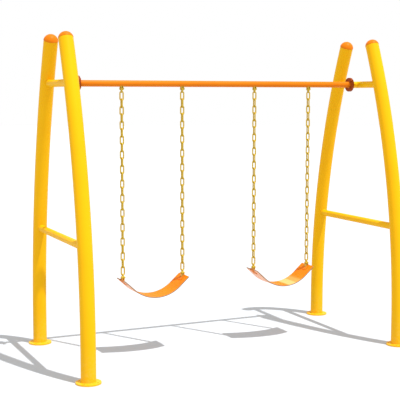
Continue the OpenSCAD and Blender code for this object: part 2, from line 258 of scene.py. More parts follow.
# %% [markdown]
# ## Shared effect: rubbed metal
# Plated chain and bolts are never one even tone. The plating is cloudy, and it is
# brighter and smoother where parts have rubbed. The group puts out one cloudy mask, which
# each metal uses for both its colour and its roughness.

# %% Rubbed metal group
rubbed, rubbed_in, rubbed_out = group(
    "rubbed_metal", [("Cloud size", "value", 120.0)], [("Mask", "value"), ("Height", "value")])
cloud = noise_at(rubbed, rubbed_in.outputs["Cloud size"], 5.0, 0.6)
rubbed.links.new(spread(rubbed, cloud, 0.35, 0.65), rubbed_out.inputs["Mask"])
rubbed.links.new(noise_at(rubbed, 900.0, 2.0), rubbed_out.inputs["Height"])
print("group:", rubbed.name)

# %% [markdown]
# ## The finishes
# Every finish is one Principled shader. What is the same all over the surface, such as
# how metallic it is, sits on the shader's own socket. What changes over the surface comes
# from the groups above.

# %% A start for each finish
def new_finish(name, metallic=0.0, specular=0.5):
    """A material with one Principled shader; gives the material, its tree and the shader."""
    finish = bpy.data.materials.new(name)
    finish.use_nodes = True
    tree = finish.node_tree
    shader = tree.nodes["Principled BSDF"]
    shader.inputs["Metallic"].default_value = metallic
    shader.inputs["Specular IOR Level"].default_value = specular
    finish["slot"] = name
    return finish, tree, shader


def use_group(tree, shared, **values):
    """Places a shared group in a material; keyword names are its inputs, _ for a space."""
    inputs = {label.replace("_", " "): value for label, value in values.items()}
    return place(tree, "ShaderNodeGroup", inputs, node_tree=shared)


def bump_from(tree, shader, height, depth):
    """Turns a height socket into the shader's normal; depth is in metres."""
    bump = place(tree, "ShaderNodeBump", {
        "Strength": 1.0, "Distance": depth, "Height": height})
    tree.links.new(bump.outputs["Normal"], shader.inputs["Normal"])


def painted(name, paint, thick, bare, roughness=0.42, specular=0.08):
    """A powder coated finish: drifting colour, peel, worn edges and ground dust."""
    finish, tree, shader = new_finish(name, specular=specular)
    coat = use_group(tree, powder, Paint=paint, Thick_paint=thick, Roughness=roughness)
    edges = use_group(tree, wear, Amount=0.35)
    low = use_group(tree, dust, Amount=0.10)
    scuffed = blend_colours(tree, edges.outputs["Mask"], coat.outputs["Colour"], bare)
    dusty = blend_colours(tree, low.outputs["Mask"], scuffed, (0.75, 0.66, 0.46, 1.0))
    tree.links.new(dusty, shader.inputs["Base Color"])
    tree.links.new(coat.outputs["Roughness"], shader.inputs["Roughness"])
    bump_from(tree, shader, coat.outputs["Height"], 0.00004)
    return finish


def plated(name, dull, bright, rough_low, rough_high, cloud_size=120.0, metallic=1.0):
    """A plated metal: cloudy between two tones, smoother where it is brighter."""
    finish, tree, shader = new_finish(name, metallic=metallic)
    clouds = use_group(tree, rubbed, Cloud_size=cloud_size)
    edges = use_group(tree, wear, Amount=0.5)
    tone = blend_colours(tree, clouds.outputs["Mask"], dull, bright)
    tree.links.new(blend_colours(tree, edges.outputs["Mask"], tone, bright),
                   shader.inputs["Base Color"])
    tree.links.new(spread(tree, clouds.outputs["Mask"], 0.0, 1.0, rough_high, rough_low),
                   shader.inputs["Roughness"])
    bump_from(tree, shader, clouds.outputs["Height"], 0.00002)
    return finish


print("finish helpers ready")

# %% [markdown]
# ## Yellow and orange paint, and red-brown painted shade
# The posts and crossbars are golden yellow. The beam, the caps and the seat brackets are
# orange. The bolted flanges with their bolts are a dark red-brown, which is painted shade:
# it stands for the shade on the flanges' faces. The paints are strongly coloured, so they
# hold almost no blue, and they are satin rather than glossy.

# %% Paints
YELLOW, YELLOW_THICK = (0.845, 0.455, 0.003, 1.0), (0.83, 0.425, 0.003, 1.0)
ORANGE, ORANGE_THICK = (0.72, 0.190, 0.005, 1.0), (0.69, 0.172, 0.004, 1.0)
# The red-brown tones are painted shade: they stand for the shade on the bolted flanges' faces.
RED_BROWN_SHADE, RED_BROWN_SHADE_THICK = (0.30, 0.055, 0.005, 1.0), (0.26, 0.046, 0.004, 1.0)
yellow_paint = painted("yellow_paint", YELLOW, YELLOW_THICK, (0.88, 0.66, 0.16, 1.0))
orange_paint = painted("orange_paint", ORANGE, ORANGE_THICK, (0.80, 0.36, 0.09, 1.0))
red_brown_paint = painted("red_brown_paint", RED_BROWN_SHADE, RED_BROWN_SHADE_THICK,
                          (0.46, 0.17, 0.05, 1.0))
print("finishes:", yellow_paint.name, orange_paint.name, red_brown_paint.name)

# %% [markdown]
# ## Chain, bolts and bushes
# The chain is plated a pale brassy gold, cloudy, and brighter on its worn edges. The links,
# ears and bolts that it hangs by are plated alike, and the bushes that they turn on are bronze.
# A matt plating scatters light like paint as well as mirroring it, so it is part metal.

# %% Metals
chain_steel = plated("chain_steel", (0.48, 0.31, 0.020, 1.0), (0.70, 0.49, 0.040, 1.0),
                     0.32, 0.48, 160.0, 0.40)
bronze = plated("bronze", (0.45, 0.24, 0.09, 1.0), (0.62, 0.36, 0.15, 1.0), 0.28, 0.42, 260.0)
print("finishes:", chain_steel.name, bronze.name)

# %% [markdown]
# ## Belt rubber
# A belt seat is a slab of coloured rubber moulded over a woven core. Its faces have a
# fine leathery grain, so that clothes grip it. Its edges are a dark grey-brown, which is
# painted shade for the shaded thickness of the belt. Its lower face is paler, and the second
# belt carries a painted reflection: a pale band on its top face just beside its middle. The
# belt's mesh carries three numbers from 0 to 1, called edge, under and painted_reflection,
# which say where these are, and the finish reads them.

# %% Rubber
belt_rubber, rubber_tree, rubber = new_finish("belt_rubber", specular=0.06)
rubber_place = place(rubber_tree, "ShaderNodeTexCoord")
cells = place(rubber_tree, "ShaderNodeTexVoronoi", {
    "Vector": rubber_place.outputs["Object"], "Scale": 620.0, "Randomness": 1.0},
    feature="SMOOTH_F1")
rubbed_faces = spread(rubber_tree, noise_at(rubber_tree, 9.0, 4.0, 0.6), 0.35, 0.7)
belt_tone = blend_colours(rubber_tree, rubbed_faces,
                          (0.79, 0.190, 0.003, 1.0), (0.84, 0.225, 0.006, 1.0))
# The pale orange tone is a painted reflection: a pale band on the top of the second belt.
for mark, tone in (("under", (0.93, 0.50, 0.33, 1.0)), ("painted_reflection", (0.90, 0.46, 0.15, 1.0)),
                   # The dark grey-brown edge tone is painted shade on the belt's side faces.
                   ("edge", (0.24, 0.165, 0.085, 1.0))):
    marked = place(rubber_tree, "ShaderNodeAttribute", attribute_name=mark)
    belt_tone = blend_colours(rubber_tree, marked.outputs["Fac"], belt_tone, tone)
rubber_tree.links.new(belt_tone, rubber.inputs["Base Color"])
rubber_tree.links.new(
    spread(rubber_tree, noise_at(rubber_tree, 70.0, 3.0), 0.3, 0.7, 0.44, 0.58),
    rubber.inputs["Roughness"])
bump_from(rubber_tree, rubber, cells.outputs["Distance"], 0.00012)
print("finish:", belt_rubber.name)

# %% [markdown]
# ## Turning arrays into pieces
# Every new shape below is a grid of points: rows along the piece and columns round it.
# One helper lists the four-sided faces between neighbouring points. Another puts points
# and faces into a mesh, merges points that fall together at seams and poles, turns the
# faces outward, and hands the piece to the body that it moves with.

# %% Mesh helpers
def grid_faces(rows, cols, close_rows=False, close_cols=True):
    """Quads between neighbours (i, j), (i, j+1), (i+1, j+1), (i+1, j) of a grid of points."""
    i, j = np.meshgrid(np.arange(rows if close_rows else rows - 1),
                       np.arange(cols if close_cols else cols - 1), indexing="ij")
    below, right = (i + 1) % rows, (j + 1) % cols
    corners = (i * cols + j, i * cols + right, below * cols + right, below * cols + j)
    return np.stack(corners, axis=-1).reshape(-1, 4)


def repeated(points, faces):
    """Joins copies of one shape: points is (copies, points, 3), faces fits one copy."""
    copies, count = points.shape[0], points.shape[1]
    shift = (np.arange(copies) * count)[:, None, None]
    return points.reshape(-1, 3), (faces[None] + shift).reshape(-1, faces.shape[-1])


def joined_grids(grids, close_rows=False):
    """Joins grids of one size: grids is (copies, rows, columns, 3)."""
    faces = grid_faces(grids.shape[1], grids.shape[2], close_rows=close_rows)
    return repeated(grids.reshape(len(grids), -1, 3), faces)


def once_round(count):
    """That many even angles once round, from 0 up to just before a full turn."""
    return np.linspace(0, 2 * np.pi, count, endpoint=False)


def vectors(items, field):
    """A field of three numbers of every vertex or face, as the rows of an array."""
    values = np.empty(len(items) * 3)
    items.foreach_get(field, values)
    return values.reshape(-1, 3)


def middle_of(node):
    """The middle of a CAD part's box, as x, y and z."""
    return [(low + high) / 2 for low, high in zip(*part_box(node))]


def box_gap(piece, nodes):
    """The largest distance in mm between the piece's box and its CAD parts' joint box."""
    at = vectors(piece.data.vertices, "co")
    boxes = np.array([[list(corner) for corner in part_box(node)] for node in nodes])
    low, high = boxes[:, 0].min(axis=0), boxes[:, 1].max(axis=0)
    return 1000 * max(np.abs(at.min(axis=0) - low).max(), np.abs(at.max(axis=0) - high).max())


MERGE_DIST = 2e-6


def merged_mesh(name, points, faces, then=None):
    """A smooth mesh whose coinciding points are merged, after one more step on its shape."""
    mesh = bpy.data.meshes.new(name)
    mesh.from_pydata(np.asarray(points, float).reshape(-1, 3), [], faces)
    shape = bmesh.new()
    shape.from_mesh(mesh)
    bmesh.ops.remove_doubles(shape, verts=shape.verts, dist=MERGE_DIST)
    if then:
        then(shape)
    shape.to_mesh(mesh)
    shape.free()
    mesh.shade_smooth()
    return mesh


def add_piece(mesh, finish, body, nodes):
    """Shows a mesh as a piece that rides on a body and stands for those CAD parts."""
    mesh.materials.append(finish)
    piece = bpy.data.objects.new(mesh.name, mesh)
    scene.collection.objects.link(piece)
    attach(piece, body)
    if nodes:
        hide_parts(*nodes)
    return piece


def turn_outward(shape):
    """Turns every face of a closed shape to look outwards."""
    bmesh.ops.recalc_face_normals(shape, faces=shape.faces)


def new_piece(name, points, faces, finish, body, nodes=(), crease=32.0):
    """A finished piece from points in metres and faces, with sharp edges above crease."""
    mesh = merged_mesh(name, points, faces, turn_outward)
    mesh.set_sharp_from_angle(angle=math.radians(crease))
    piece = add_piece(mesh, finish, body, nodes)
    gap = f"box gap {box_gap(piece, nodes):.2f} mm" if nodes else "added"
    print(name, gap)
    return piece


def body_of_node(node):
    """The body that a CAD part moves with."""
    return frame["nodes"][node]["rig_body"]


print("mesh helpers ready")

# %% [markdown]
# ## The curved posts
# Each post is one steel tube, upright at the foot and then bent to one long arc, so that
# a front and a rear post lean together like a pair of tusks. Such a tube is a ring
# carried along a path. The ring's two directions are X and the normal of the arc, which
# turns with it, so the tube never twists. Outer and inner walls are one closed sheet
# that folds over at the tube's two ends.

# %% Measures of the end frames
rear_low, rear_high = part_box("post_right_rear")
FRAME_X = middle_of("post_right_rear")[0]
POST_R = (rear_high.x - rear_low.x) / 2
POST_WALL = 0.003
FOOT_Y = rear_high.y - POST_R
FOOT_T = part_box("base_flange_right_rear")[1].z
BEND_START, TOP_Y, TOP_Z = 0.189, 0.198, 2.524
BEND_IN, BEND_RISE = FOOT_Y - TOP_Y, TOP_Z - BEND_START
BEND_R = (BEND_IN ** 2 + BEND_RISE ** 2) / (2 * BEND_IN)
BEND_TURN = math.asin(BEND_RISE / BEND_R)
ARC_Y = FOOT_Y - BEND_R
CORNERS = {"left_front": (-1, -1), "left_rear": (-1, 1),
           "right_front": (1, -1), "right_rear": (1, 1)}
SIDES = {"left": -1, "right": 1}
print("post radius", round(POST_R, 4), "bend radius", round(BEND_R, 3),
      "turn", round(math.degrees(BEND_TURN), 2))


# %% Posts
def post_wall(radius, around=96, upright=5, along=72):
    """A tube wall of that radius: ring(a) = radius (cos a X + sin a n) about the path,
    which rises straight to the bend and then follows centre + R n, n = (cos t, sin t)."""
    turn = np.concatenate([np.zeros(upright), np.linspace(0, BEND_TURN, along)])
    rise = np.concatenate([np.linspace(FOOT_T, BEND_START, upright, endpoint=False),
                           np.full(along, BEND_START)])
    a = once_round(around)
    reach = BEND_R + radius * np.sin(a)[None]
    x = np.broadcast_to(radius * np.cos(a)[None], reach.shape) + 0 * turn[:, None]
    y = ARC_Y + reach * np.cos(turn)[:, None]
    z = rise[:, None] + reach * np.sin(turn)[:, None]
    return np.stack([x, y, z], axis=-1)


def hollow(outer, inner):
    """One closed sheet from an outer and an inner wall, which fold over at both ends."""
    rows = np.concatenate([outer, inner[::-1]])
    return rows, grid_faces(rows.shape[0], rows.shape[1], close_rows=True)


post_points, post_faces = hollow(post_wall(POST_R), post_wall(POST_R - POST_WALL))
for corner, (side_x, side_y) in CORNERS.items():
    at = post_points * (1, side_y, 1) + (side_x * FRAME_X, 0, 0)
    new_piece("painted_post_" + corner, at, post_faces, yellow_paint, "frame",
              ["post_" + corner])

# %% [markdown]
# ## The crossbars
# Two straight tubes tie each pair of posts together. Their ends are cut to a saddle, so
# that they meet the round posts all the way round. The saddle has a formula: at a
# distance x from the post's plane the post's near side lies at R - sqrt(r^2 - x^2) from
# the centre of its arc, and the height there gives y. The welds below use it again.

# %% Crossbars
bar_low, bar_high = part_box("lower_crossbar_right")
BAR_R = (bar_high.x - bar_low.x) / 2
BAR_WALL = 0.003
LOWER_H, BEAM_H = middle_of("lower_crossbar_right")[2], middle_of("top_beam")[2]
beam_low, beam_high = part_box("top_beam")
BEAM_R = (beam_high.z - beam_low.z) / 2
BEAM_WALL = 0.004
WELD_GAP = 0.0003


def saddle(radius, height, a):
    """Half the length of a crossbar's wall at the angle a round it, up to the post."""
    x, z = radius * np.cos(a), height + radius * np.sin(a) - BEND_START
    from_centre = BEND_R - np.sqrt((POST_R + WELD_GAP) ** 2 - x ** 2)
    return ARC_Y + np.sqrt(from_centre ** 2 - z ** 2)


def bar_wall(radius, height, around=96, along=25):
    """A crossbar's wall: x = r cos a, z = h + r sin a, y from -saddle to +saddle."""
    a = once_round(around)
    share = np.linspace(-1, 1, along)[:, None]
    y = share * saddle(radius, height, a)[None]
    x = np.broadcast_to(radius * np.cos(a), y.shape)
    z = np.broadcast_to(height + radius * np.sin(a), y.shape)
    return np.stack([x, y, z], axis=-1)


for end, side in SIDES.items():
    for level, height in (("upper", BEAM_H), ("lower", LOWER_H)):
        node = level + "_crossbar_" + end
        rows, faces = hollow(bar_wall(BAR_R, height), bar_wall(BAR_R - BAR_WALL, height))
        new_piece("painted_" + node, rows + (side * FRAME_X, 0, 0), faces, yellow_paint,
                  "frame", [node])

# %% [markdown]
# ## The beam and its stubs
# The top beam is a separate tube, bolted between two short stubs so that the set can be
# carried in pieces. The stubs are coped round the upper crossbars. A tube along X is the
# same ring, with a length that may change with the angle round it.

# %% Beam and stubs
flange_low, flange_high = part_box("stub_flange_right")
FLANGE_T = flange_high.x - flange_low.x
FLANGE_X = {"left": -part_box("stub_flange_left")[1].x, "right": flange_low.x}


def tube_along_x(radius, start, stop, around=96, along=25):
    """A wall about the beam's axis: y = r cos a, z = r sin a, x from start(a) to stop(a)."""
    a = once_round(around)
    share = np.linspace(0, 1, along)[:, None]
    x = (1 - share) * start(a)[None] + share * stop(a)[None]
    y = np.broadcast_to(radius * np.cos(a), x.shape)
    z = np.broadcast_to(BEAM_H + radius * np.sin(a), x.shape)
    return np.stack([x, y, z], axis=-1)


def flat_end(x):
    """An end cut square at x."""
    return lambda a: np.full_like(a, x)


def coped_end(radius):
    """An end coped to the crossbar: x = X - sqrt(R^2 - z^2), z = r sin a."""
    return lambda a: FRAME_X - np.sqrt((BAR_R + WELD_GAP) ** 2 - (radius * np.sin(a)) ** 2)


rows, faces = hollow(
    tube_along_x(BEAM_R, flat_end(beam_low.x), flat_end(beam_high.x)),
    tube_along_x(BEAM_R - BEAM_WALL, flat_end(beam_low.x), flat_end(beam_high.x)))
new_piece("painted_top_beam", rows, faces, orange_paint, "frame", ["top_beam"])
for end, side in SIDES.items():
    outside = flat_end(FLANGE_X[end] + FLANGE_T)
    rows, faces = hollow(
        tube_along_x(BEAM_R, outside, coped_end(BEAM_R), along=5),
        tube_along_x(BEAM_R - BEAM_WALL, outside, coped_end(BEAM_R - BEAM_WALL), along=5))
    new_piece("painted_stub_" + end, rows * (side, 1, 1), faces, yellow_paint, "frame",
              ["beam_stub_" + end])

# %% [markdown]
# ## The post caps
# A moulded cap closes each post. It is a solid of revolution: a half section, turned
# about the post's axis. The corners of the section are rounded off, as any moulding's
# are, by swapping each corner for a short arc. The cap is then tipped with the post's end.

# %% Rounded half sections
def rounded(corners, radii, steps=5):
    """Swaps each corner of an open outline for a quadratic arc from a point that far
    before it to a point that far after it: (1-t)^2 P + 2t(1-t) C + t^2 Q."""
    corners = np.array(corners, float)
    t = np.linspace(0, 1, steps)[:, None]
    pieces = [corners[:1]]
    for before, corner, after, radius in zip(corners, corners[1:], corners[2:], radii):
        start = corner + radius * (before - corner) / np.linalg.norm(before - corner)
        stop = corner + radius * (after - corner) / np.linalg.norm(after - corner)
        pieces.append((1 - t) ** 2 * start + 2 * t * (1 - t) * corner + t ** 2 * stop)
    return np.concatenate(pieces + [corners[-1:]])


def turned(outline, around=72):
    """A solid of revolution about Z from an outline of (radius, height) rows."""
    a = once_round(around)
    r, h = outline[:, :1], outline[:, 1:]
    return np.stack([r * np.cos(a), r * np.sin(a), h + 0 * a], axis=-1)


def arc_rows(radius, centre_h, r_from, r_to, steps):
    """Points of a dome's section: height = centre + sqrt(R^2 - r^2)."""
    r = np.linspace(r_from, r_to, steps)
    return np.stack([r, centre_h + np.sqrt(radius ** 2 - r ** 2)], axis=-1)


CAP_LIP, CAP_RIM, CAP_WALL, DOME_H, PLUG_L = 0.0015, 0.004, 0.003, 0.047, 0.025
cap_r = POST_R + CAP_LIP
plug_r = POST_R - POST_WALL - WELD_GAP
dome_r = (cap_r ** 2 + DOME_H ** 2) / (2 * DOME_H)
dome_mid = CAP_RIM + DOME_H - dome_r
skirt = rounded(
    [arc_rows(dome_r, dome_mid, cap_r * 0.93, cap_r, 2)[0], (cap_r, CAP_RIM), (cap_r, 0.0),
     (plug_r, 0.0), (plug_r, -PLUG_L), (plug_r - CAP_WALL, -PLUG_L),
     (plug_r - CAP_WALL, CAP_RIM)],
    [0.003, 0.0009, 0.0003, 0.0008, 0.0008])
cap_outline = np.concatenate([
    arc_rows(dome_r, dome_mid, 0.0, cap_r * 0.92, 22), skirt,
    arc_rows(dome_r - CAP_WALL, dome_mid, plug_r - CAP_WALL, 0.0, 12)])
cap_points = turned(cap_outline)
cap_faces = grid_faces(cap_points.shape[0], cap_points.shape[1])
lean_cos, lean_sin = math.cos(BEND_TURN), math.sin(BEND_TURN)
for corner, (side_x, side_y) in CORNERS.items():
    x, y, z = cap_points[..., 0], cap_points[..., 1], cap_points[..., 2]
    tipped = np.stack([x + side_x * FRAME_X,
                       side_y * (TOP_Y + y * lean_cos - z * lean_sin),
                       TOP_Z + y * lean_sin + z * lean_cos], axis=-1)
    new_piece("moulded_cap_" + corner, tipped, cap_faces, orange_paint, "frame",
              ["post_cap_" + corner])

# %% [markdown]
# ## Plates and ears with softened edges
# Flanges, ears and links are flame cut or stamped from plate, and then deburred, so no
# edge is perfectly sharp. Their CAD shapes are right, holes included. A copy of each is
# merged, its flat faces are joined up again, and a Bevel modifier rounds its edges.

# %% Softened copies
def join_flat_faces(shape):
    """Joins neighbouring triangles that lie in one plane."""
    bmesh.ops.dissolve_limit(shape, angle_limit=math.radians(0.4), verts=shape.verts,
                             edges=shape.edges, use_dissolve_boundaries=False)


def softened(node, name, finish, width):
    """A copy of a CAD part with joined flat faces and edges rounded to that width."""
    source = frame["nodes"][node].data
    source.calc_loop_triangles()
    triangles = np.empty(len(source.loop_triangles) * 3, int)
    source.loop_triangles.foreach_get("vertices", triangles)
    mesh = merged_mesh(name, vectors(source.vertices, "co"), triangles.reshape(-1, 3),
                       join_flat_faces)
    piece = add_piece(mesh, finish, body_of_node(node), [node])
    bevel = piece.modifiers.new("deburred", "BEVEL")
    bevel.width, bevel.segments = width, 2
    bevel.limit_method, bevel.angle_limit = "ANGLE", math.radians(35)
    bevel.harden_normals = True
    return piece


soft_parts = [("base_flange_" + corner, yellow_paint, 0.0012) for corner in CORNERS]
# The bolted flanges take the red-brown painted shade.
soft_parts += [(kind + "_flange_" + end, red_brown_paint, 0.0009)
               for kind in ("stub", "beam") for end in SIDES]
soft_parts += [(f"hanger_bracket_{n}", chain_steel, 0.0006) for n in (1, 2, 3, 4)]
soft_parts += [(f"{kind}_link_{n}", chain_steel, 0.0009)
               for kind in ("hanger", "seat") for n in (1, 2, 3, 4)]
soft_parts += [(f"{kind}_{n}", orange_paint, 0.0006)
               for kind in ("seat_brackets", "backing_plates") for n in (1, 2)]
soft_pieces = {node: softened(node, "edged_" + node, finish, width)
               for node, finish, width in soft_parts}
print("softened parts:", len(soft_pieces))

# %% [markdown]
# ## Weld beads
# Every joint in the steelwork is welded, and the paint runs over the bead. A bead is a
# small round rope laid along the line where two parts meet, thick and thin by turns
# because the pool of metal sets ripple by ripple. So it is a ring carried along that
# line, whose radius is w (0.88 + 0.12 |sin|), with one ripple about every 3 mm.

# %% Beads
RIPPLE = 0.0032
FOOT_WELD, BAR_WELD, TUBE_WELD, EAR_WELD, SEAT_WELD = 0.0040, 0.0036, 0.0032, 0.0024, 0.0018


def rippled(phase):
    """The bead's width, ripple by ripple: 0.88 + 0.12 |sin|."""
    return 0.88 + 0.12 * np.abs(np.sin(phase))


def rope(line, normal, binormal, w, around=8):
    """Rings about a line: P + w(s) (cos b N + sin b B)."""
    b = once_round(around)[None, :, None]
    return line[:, None] + w[:, None, None] * (np.cos(b) * normal + np.sin(b) * binormal)


def bead(line, outward, width, ripples):
    """A closed rope round a closed line: P + w(s) (cos b N + sin b B), B = T x N."""
    tangent = np.roll(line, -1, axis=0) - np.roll(line, 1, axis=0)
    tangent /= np.linalg.norm(tangent, axis=1, keepdims=True)
    normal = outward - tangent * (outward * tangent).sum(axis=1, keepdims=True)
    normal /= np.linalg.norm(normal, axis=1, keepdims=True)
    binormal = np.cross(tangent, normal)
    s = np.arange(len(line)) / len(line)
    return rope(line, normal[:, None], binormal[:, None],
                width * rippled(np.pi * ripples * s))


def stack_beads(name, beads, finish, body="frame"):
    """Joins beads of one size into one piece."""
    new_piece(name, *joined_grids(beads, close_rows=True), finish, body, crease=70.0)


def ring_of(count):
    """Angles for a bead of that many ripples, four steps to a ripple, and the unit ring."""
    a = once_round(4 * count)
    return a, np.cos(a), np.sin(a), 0 * a


foot_ripples = int(2 * np.pi * POST_R / RIPPLE)
a, c, s, zero = ring_of(foot_ripples)
out = np.stack([c, s, zero], axis=-1)
feet = np.stack([bead(POST_R * out + (sx * FRAME_X, sy * FOOT_Y, FOOT_T), out, FOOT_WELD,
                      foot_ripples) for sx, sy in CORNERS.values()])
stack_beads("foot_welds", feet, yellow_paint)

bar_ripples = int(2 * np.pi * BAR_R / RIPPLE)
a, c, s, zero = ring_of(bar_ripples)
out = np.stack([c, zero, s], axis=-1)
bar_beads = []
for side_x in (-1, 1):
    for height in (BEAM_H, LOWER_H):
        for side_y in (-1, 1):
            line = BAR_R * out + (side_x * FRAME_X, 0, height)
            line[:, 1] = side_y * saddle(BAR_R, height, a)
            bar_beads.append(bead(line, out, BAR_WELD, bar_ripples))
stack_beads("crossbar_welds", np.stack(bar_beads), yellow_paint)

tube_ripples = int(2 * np.pi * BEAM_R / RIPPLE)
a, c, s, zero = ring_of(tube_ripples)
out = np.stack([zero, c, s], axis=-1)


def tube_bead(x, side):
    """A bead round the beam's tube, along the line whose x may change with the angle."""
    line = BEAM_R * out + (0, 0, BEAM_H)
    line[:, 0] = side * x
    return bead(line, out, TUBE_WELD, tube_ripples)


yellow_beads = [tube_bead(x, side) for end, side in SIDES.items()
                for x in (FLANGE_X[end] + FLANGE_T, coped_end(BEAM_R)(a))]
orange_beads = [tube_bead(FLANGE_X[end] - FLANGE_T, side) for end, side in SIDES.items()]
stack_beads("stub_welds", np.stack(yellow_beads), yellow_paint)
stack_beads("beam_welds", np.stack(orange_beads), orange_paint)

# %% [markdown]
# ## Welds of the hangers and seat brackets
# The hanger ears are welded to the beam's underside and the seat ears to their base
# plates, along their outer faces only, because the links swing between the inner faces.
# These beads are short and have two ends. Each tapers to a point there, which closes it.

# %% Short beads
def short_bead(line, normal, width):
    """A bead along an open line, with w (0.88 + 0.12 |sin|) that ends in round tips."""
    tangent = np.gradient(line, axis=0)
    tangent /= np.linalg.norm(tangent, axis=1, keepdims=True)
    binormal = np.cross(tangent, normal)
    share = np.linspace(-1, 1, len(line))
    length = np.linalg.norm(np.diff(line, axis=0), axis=1).sum()
    ripple = rippled(np.pi * (share + 1) / 2 * length / RIPPLE)
    w = width * ripple * np.sqrt(np.clip(1 - share ** 6, 0, 1))
    return rope(line, normal, binormal[:, None], w)


HANGERS = {n: middle_of(f"hanger_link_{n}")[0] for n in (1, 2, 3, 4)}
EAR_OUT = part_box("hanger_bracket_1")[1].x - HANGERS[1]
HANGER_EAR_HALF = 0.0185
across = np.linspace(-HANGER_EAR_HALF, HANGER_EAR_HALF, 61)
ear_line = np.stack([0 * across, across, BEAM_H - np.sqrt(BEAM_R ** 2 - across ** 2)], axis=-1)
ear_beads = np.stack([
    short_bead(ear_line + (x + side * EAR_OUT, 0, 0), np.array([side, 0.0, 0.0]), EAR_WELD)
    for x in HANGERS.values() for side in (-1, 1)])
new_piece("hanger_welds", *joined_grids(ear_beads), chain_steel, "frame", crease=70.0)

# %% [markdown]
# ## The chains
# A link is a rod bent to a loop, with two straight legs and two half circles, and butt
# welded in the middle of one leg, where it keeps a small bulge. So the rod's radius is
# r + bulge exp(-(z/w)^2) on that leg. Every other link is turned by a quarter turn. One
# link is worked out once, and the chain is that array repeated at each pitch.

# %% One link
LINKS, WIRE_R, CROWN_R, LEG_L = 25, 0.0055, 0.0135, 0.0427
chain_low, chain_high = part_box("chain_1")
CHAIN_TOP, CHAIN_BOTTOM = chain_high.z, chain_low.z
half_link = LEG_L / 2 + CROWN_R + WIRE_R
PITCH = (CHAIN_TOP - CHAIN_BOTTOM - 2 * half_link) / (LINKS - 1)


def link_surface(around=12):
    """The rod's surface: centre line + r(s) (cos b n + sin b Y), n away from the loop."""
    up = LEG_L * np.array([-0.5, -0.27, -0.085, -0.045, -0.02, 0.02, 0.045, 0.085, 0.27])
    bend = np.linspace(0, np.pi, 13)[:-1]
    leg_x, leg_turn = np.full(up.size, CROWN_R), np.zeros(up.size)
    x = np.concatenate([leg_x, CROWN_R * np.cos(bend), -leg_x, -CROWN_R * np.cos(bend)])
    z = np.concatenate([up, LEG_L / 2 + CROWN_R * np.sin(bend),
                        -up, -LEG_L / 2 - CROWN_R * np.sin(bend)])
    turn = np.concatenate([leg_turn, bend, leg_turn + np.pi, bend + np.pi])
    bulge = 0.0007 * np.exp(-(up / 0.0018) ** 2)
    r = WIRE_R + np.concatenate([bulge, np.zeros(x.size - up.size)])
    b = once_round(around)
    out_x, out_z = np.cos(turn)[:, None], np.sin(turn)[:, None]
    return np.stack([x[:, None] + r[:, None] * np.cos(b) * out_x,
                     r[:, None] * np.sin(b) + 0 * out_x,
                     z[:, None] + r[:, None] * np.cos(b) * out_z], axis=-1)


link = link_surface()
link_faces = grid_faces(link.shape[0], link.shape[1], close_rows=True)
print("faces in a link:", len(link_faces), " pitch:", round(1000 * PITCH, 2), "mm")

# %% Four chains
flat_link = link.reshape(-1, 3)
quarter_link = flat_link[:, [1, 0, 2]] * (-1, 1, 1)
odd = (np.arange(LINKS) % 2 == 1)[:, None, None]
links = np.where(odd, quarter_link[None], flat_link[None])
heights = CHAIN_TOP - half_link - PITCH * np.arange(LINKS)
for n, x in HANGERS.items():
    at = links + np.stack([np.full(LINKS, x), np.zeros(LINKS), heights], axis=-1)[:, None]
    new_piece(f"welded_chain_{n}", *repeated(at, link_faces), chain_steel,
              body_of_node(f"chain_{n}"), [f"chain_{n}"], crease=60.0)

# %% [markdown]
# ## Bolts and nuts
# A hexagon head is turned from hexagonal bar and its corners are chamfered by a cone,
# which leaves the little arcs that tell a real bolt from a plain prism. Both shapes are
# radii: the hexagon is h / cos(angle to the nearest flat), the cone grows with depth, and
# the head's radius is the smaller of the two. The thread at the tip is a shallow helix.

# %% Hexagon bolts
BOLT_D = 0.010
HEAD_R, HEAD_T, NUT_T, TIP_L = 0.95 * BOLT_D, 0.65 * BOLT_D, 0.8 * BOLT_D, 0.2 * BOLT_D
FLAT_R = HEAD_R * math.cos(math.pi / 6)
THREAD, COUNTERSINK = 0.0015, 0.0006
bolt_a = once_round(72)


def hexagon(depth):
    """Radius at each angle, at a depth under the chamfered face: min(hexagon, cone)."""
    to_flat = np.mod(bolt_a, np.pi / 3) - np.pi / 6
    cone = 0.95 * FLAT_R + np.atleast_1d(depth)[:, None] * math.sqrt(3)
    return np.minimum(FLAT_R / np.cos(to_flat)[None], cone)


def stacked(radii, heights):
    """Rings of the given radii and heights about Z, as a grid of points."""
    heights = np.atleast_1d(heights)[:, None] + 0 * bolt_a
    radii = radii + 0 * heights
    return np.stack([radii * np.cos(bolt_a), radii * np.sin(bolt_a), heights], axis=-1)


CHAMFER = np.array([0.0, 0.2, 0.4, 0.6, 0.8, 1.0]) * (HEAD_R - 0.95 * FLAT_R) / math.sqrt(3)


def hex_bolt(grip):
    """A bolt that clamps grip, head below z = 0, axis up Z, thread over its last 4 mm."""
    end = grip + NUT_T + TIP_L
    screw = np.linspace(end - 0.004, end - 0.0006, 14)
    ramp = np.mod(screw[:, None] / THREAD - bolt_a / (2 * np.pi), 1.0)
    groove = 0.0005 * (1 - np.abs(2 * ramp - 1))
    return np.concatenate([
        stacked(0.0, -HEAD_T), stacked(hexagon(CHAMFER), -HEAD_T + CHAMFER),
        stacked(hexagon(HEAD_T), 0.0), stacked(BOLT_D / 2, 0.0),
        stacked(BOLT_D / 2, end - 0.0045), stacked(BOLT_D / 2 - groove, screw),
        stacked(BOLT_D / 2 - 0.0009, end), stacked(0.0, end)])


